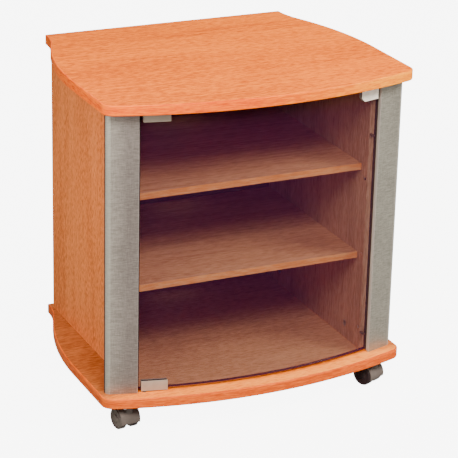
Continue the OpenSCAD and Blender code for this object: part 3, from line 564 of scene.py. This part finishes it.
def edging(name, node, z_0, material):
    """The lipping of a board: its section carried along the outline, with its length and girth as UV."""
    section = edging_section()
    lines = [outline(inset) for inset, _ in section]
    run = lengths_along(lines[0])
    girth = lengths_along(section + section[:1])
    bm = bmesh.new()
    grid = []
    for line, (_, height) in zip(lines, section):
        grid.append([bm.verts.new((x * MM, y * MM, (z_0 + height) * MM)) for x, y in line])
    uv = bm.loops.layers.uv.new("UVMap")
    for i in range(len(section)):
        k = (i + 1) % len(section)
        for j in range(len(run) - 1):
            face = bm.faces.new((grid[i][j], grid[k][j], grid[k][j + 1], grid[i][j + 1]))
            for loop, (u, v) in zip(face.loops, ((j, i), (j, i + 1), (j + 1, i + 1), (j + 1, i))):
                loop[uv].uv = (run[u], girth[v])
    for j in (0, len(run) - 1):
        face = bm.faces.new([row[j] for row in grid])
        for i, loop in enumerate(face.loops):
            loop[uv].uv = (run[j] + section[i][0] * MM, girth[i])
    add_piece(name, mesh_from(bm, name), node, material, LIPPING_SHARP_TURN)


def bowed_pane(name, node):
    """The glass door: a bowed pane with ground and polished edges, the lower one dark, partly its tinted
    edge and partly painted shade.
    """
    steps = 96
    low, top = GLASS_Z
    line = low + GLASS_SHADE_LINE_H
    section = ((GLASS_IN_R, low), (GLASS_OUT_R, low), (GLASS_OUT_R, line),
               (GLASS_OUT_R, top), (GLASS_IN_R, top), (GLASS_IN_R, line))
    start, end = GLASS_TURN
    bm = bmesh.new()
    rows = []
    for j in range(steps + 1):
        turn = start + (end - start) * j / steps
        x, y = sin(turn), -cos(turn)
        rows.append([bm.verts.new((r * x * MM, (BOW_Y + r * y) * MM, z * MM)) for r, z in section])
    for row, following in zip(rows, rows[1:]):
        for i in range(len(section)):
            k = (i + 1) % len(section)
            bm.faces.new((row[i], following[i], following[k], row[k]))
    bm.faces.new(rows[0])
    bm.faces.new(rows[-1])
    bmesh.ops.recalc_face_normals(bm, faces=bm.faces)
    edges = [edge for edge in bm.edges if turn_of(edge) > EASED_TURN]
    bmesh.ops.bevel(bm, geom=edges, offset=GLASS_ARRIS * MM, offset_type="OFFSET", segments=3, profile=0.6,
                    affect="EDGES", clamp_overlap=True)
    pane = add_piece(name, mesh_from(bm, name), node, MATERIALS["smoked_glass"])
    cover(pane, GLASS_EDGE_AND_SHADE, lambda face: face.center.z < line * MM)
    weigh_normals(pane)


def eased(node, width, segments=2, upright=False, material=None):
    """A copy of a CAD node with its sharp edges, or only its upright ones, eased and its curves smooth."""
    bm = bmesh.new()
    bm.from_mesh(cad_nodes[node].data)
    bmesh.ops.remove_doubles(bm, verts=bm.verts, dist=WELD * MM)
    bmesh.ops.dissolve_limit(bm, angle_limit=radians(FLAT_TURN), verts=bm.verts, edges=bm.edges)
    edges = [edge for edge in bm.edges if len(edge.link_faces) == 2 and turn_of(edge) > EASED_TURN]
    if upright:
        edges = [edge for edge in edges if stands(edge)]
    bmesh.ops.bevel(bm, geom=edges, offset=width * MM, offset_type="OFFSET", segments=segments, profile=0.5,
                    affect="EDGES", clamp_overlap=True, loop_slide=True)
    name = node + "_eased"
    piece = add_piece(name, mesh_from(bm, name), node, material or MATERIALS[slot_of_node[node]])
    weigh_normals(piece)
    return piece


def dress_pilaster(node, outward, foil):
    """Foil on the face, lighter foil at the nose and the inner edge as a painted highlight, a return pale
    at the front and dark behind, and a dark backing, both dark parts painted shade.
    """
    pilaster = eased(node, PILASTER_ARRIS, segments=3, upright=True, material=foil)
    cover(pilaster, FOIL_EDGE_HIGHLIGHT, lambda face: face.normal.x * outward < EDGE_OUTWARD)
    cover(pilaster, FOIL_NOSE_HIGHLIGHT, lambda face: face.normal.x * outward > NOSE_OUTWARD)
    cover(pilaster, SHADED_BACKING, lambda face: face.normal.y > BACKING_REARWARD)
    cover(pilaster, FOIL_RETURN_AND_SHADE, lambda face: face.normal.x * outward < RETURN_OUTWARD)


def dress_side_board(node, inward, front):
    """A side board with its inner face in darker, duller tones as painted shade, and another material on
    its front edge.
    """
    side = eased(node, FINE_ARRIS)
    cover(side, SHADED_INNER_FACE, lambda face: face.normal.x * inward > FACING)
    cover(side, front, lambda face: face.normal.y < -FACING)


def dress_shelf(node):
    """A shelf with its top in darker tones as painted shade and a banded front edge, lighter as painted
    light.
    """
    shelf = eased(node, ARRIS, material=SHADED_SHELF_FACE)
    cover(shelf, LIT_SHELF_EDGE, lambda face: face.normal.y < -FACING)


def middle(node):
    """Middle of a CAD node's box."""
    low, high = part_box(node)
    return (Vector(low) + Vector(high)) / 2


def dress_caster(place):
    """Eased hood and wheels, with a lighter grey painted on the outer face of a left caster's outer wheel
    as painted light.
    """
    hood = "caster_hood_" + place
    eased(hood, ARRIS)
    for end in ("outer", "inner"):
        node = "wheel_%s_%s" % (place, end)
        wheel = eased(node, FINE_ARRIS)
        if place.endswith("left") and end == "outer":
            outward = (middle(node) - middle(hood)).normalized()
            cover(wheel, LIT_WHEEL_FACE, lambda face: face.normal.dot(outward) > LIT_WHEEL_FACING)


def floor():
    """A plain pale floor, wide enough to fill the picture behind the cart."""
    graph = Graph("pale_floor")
    colour = graph.ramp(graph.noise(even(3)), NOISE_RANGE, (FLOOR_DARK, FLOOR_LIGHT))
    path = graph.put("ShaderNodeLightPath", {}).outputs
    bare = graph.math("LESS_THAN", path["Transparent Depth"], 0.5)
    seen = graph.product(path["Is Camera Ray"], bare)
    graph.set(Base_Color=colour, Roughness=0.8)
    graph.set(Emission_Color=(1.0, 1.0, 1.0, 1.0), Emission_Strength=graph.product(seen, FLOOR_GLOW))
    corners = ((-1, -1), (1, -1), (1, 1), (-1, 1))
    mesh = bpy.data.meshes.new("floor")
    mesh.from_pydata([(x * FLOOR_HALF, y * FLOOR_HALF, 0.0) for x, y in corners], [], [(0, 1, 2, 3)])
    made = bpy.data.objects.new("floor", mesh)
    bpy.context.scene.collection.objects.link(made)
    paint(made, graph.material)


def area_light(name, at, aim, size, watts):
    """A soft lamp that the camera doesn't see, with its places and size in metres."""
    data = bpy.data.lights.new(name, "AREA")
    data.shape = "RECTANGLE"
    data.size, data.size_y = size
    data.energy = watts
    data.color = LAMP_COLOUR
    made = bpy.data.objects.new(name, data)
    made.location = at
    made.rotation_euler = (Vector(aim) - Vector(at)).to_track_quat("-Z", "Y").to_euler()
    made.visible_camera = False
    bpy.context.scene.collection.objects.link(made)


def studio():
    """Soft lamps round the cart and a faint light from everywhere."""
    world = bpy.data.worlds.new("studio")
    bpy.context.scene.world = world
    world.use_nodes = True
    background = world.node_tree.nodes["Background"]
    background.inputs["Color"].default_value = ROOM_COLOUR
    background.inputs["Strength"].default_value = ROOM_STRENGTH
    area_light("key", at=(2.4, -2.0, 2.9), aim=(0, 0, 0.4), size=(1.4, 1.4), watts=185)
    area_light("top", at=(0.6, -0.2, 2.4), aim=(0.1, 0, 0.6), size=(1.4, 1.4), watts=15)
    area_light("fill", at=(-1.1, -0.6, 1.05), aim=(-0.28, -0.05, 0.5), size=(0.7, 0.7), watts=15)
    area_light("back", at=(-0.3, 1.9, 2.6), aim=(0, 0.2, 0.4), size=(2.4, 2.4), watts=12)
    area_light("front", at=(-0.6, -2.9, 3.0), aim=(0, -0.1, 0.4), size=(1.8, 1.0), watts=195)
    area_light("right", at=(0.75, -0.80, 0.80), aim=(0.33, -0.24, 0.66), size=(0.3, 0.3), watts=2.0)


def camera():
    """The camera at the photograph's viewing angle."""
    yaw, pitch, roll = radians(CAMERA_YAW), radians(CAMERA_PITCH), radians(CAMERA_ROLL)
    ahead = Vector((sin(yaw) * cos(pitch), cos(yaw) * cos(pitch), -sin(pitch)))
    right = Vector((cos(yaw), -sin(yaw), 0))
    up = right.cross(ahead)
    right, up = right * cos(roll) + up * sin(roll), up * cos(roll) - right * sin(roll)
    data = bpy.data.cameras.new("camera")
    data.lens = LENS
    data.sensor_width = SENSOR
    data.clip_end = FARTHEST
    made = bpy.data.objects.new("camera", data)
    made.matrix_world = Matrix((right, up, -ahead)).transposed().to_4x4()
    made.location = CAMERA_AT
    bpy.context.scene.collection.objects.link(made)
    bpy.context.scene.camera = made


for node, piece in cad_nodes.items():
    paint(piece, MATERIALS[slot_of_node[node]])
paint(cad_nodes["bottom_panel"], FLOOR_BOARD)
paint(cad_nodes["door_bumpers"], BROWN_RUBBER)

edging("top_lipping", "top_edging", CEIL_Z, MATERIALS["edging"])
edging("bottom_lipping", "bottom_edging", CASTER_H, LOW_EDGING)
dress_pilaster("pilaster_left", -1, MATERIALS["silver_foil"])
dress_pilaster("pilaster_right", 1, FOIL_RIGHT_LIT)
# The side boards' front edges are painted shade too: dark on the left, in the inner faces' shaded tones on
# the right
dress_side_board("side_panel_left", 1, SHADED_BACKING)
dress_side_board("side_panel_right", -1, SHADED_INNER_FACE)
eased("hinge_clip_top", ARRIS)
eased("hinge_clip_bottom", ARRIS)
eased("strike_plate", ARRIS, material=LIT_PLATE)
eased("catch_housing", ARRIS)
for node in ("upper_shelf", "lower_shelf"):
    dress_shelf(node)
for place in ("front_left", "front_right", "back_left", "back_right"):
    dress_caster(place)
bowed_pane("bowed_pane", "door_glass")

floor()
studio()
camera()
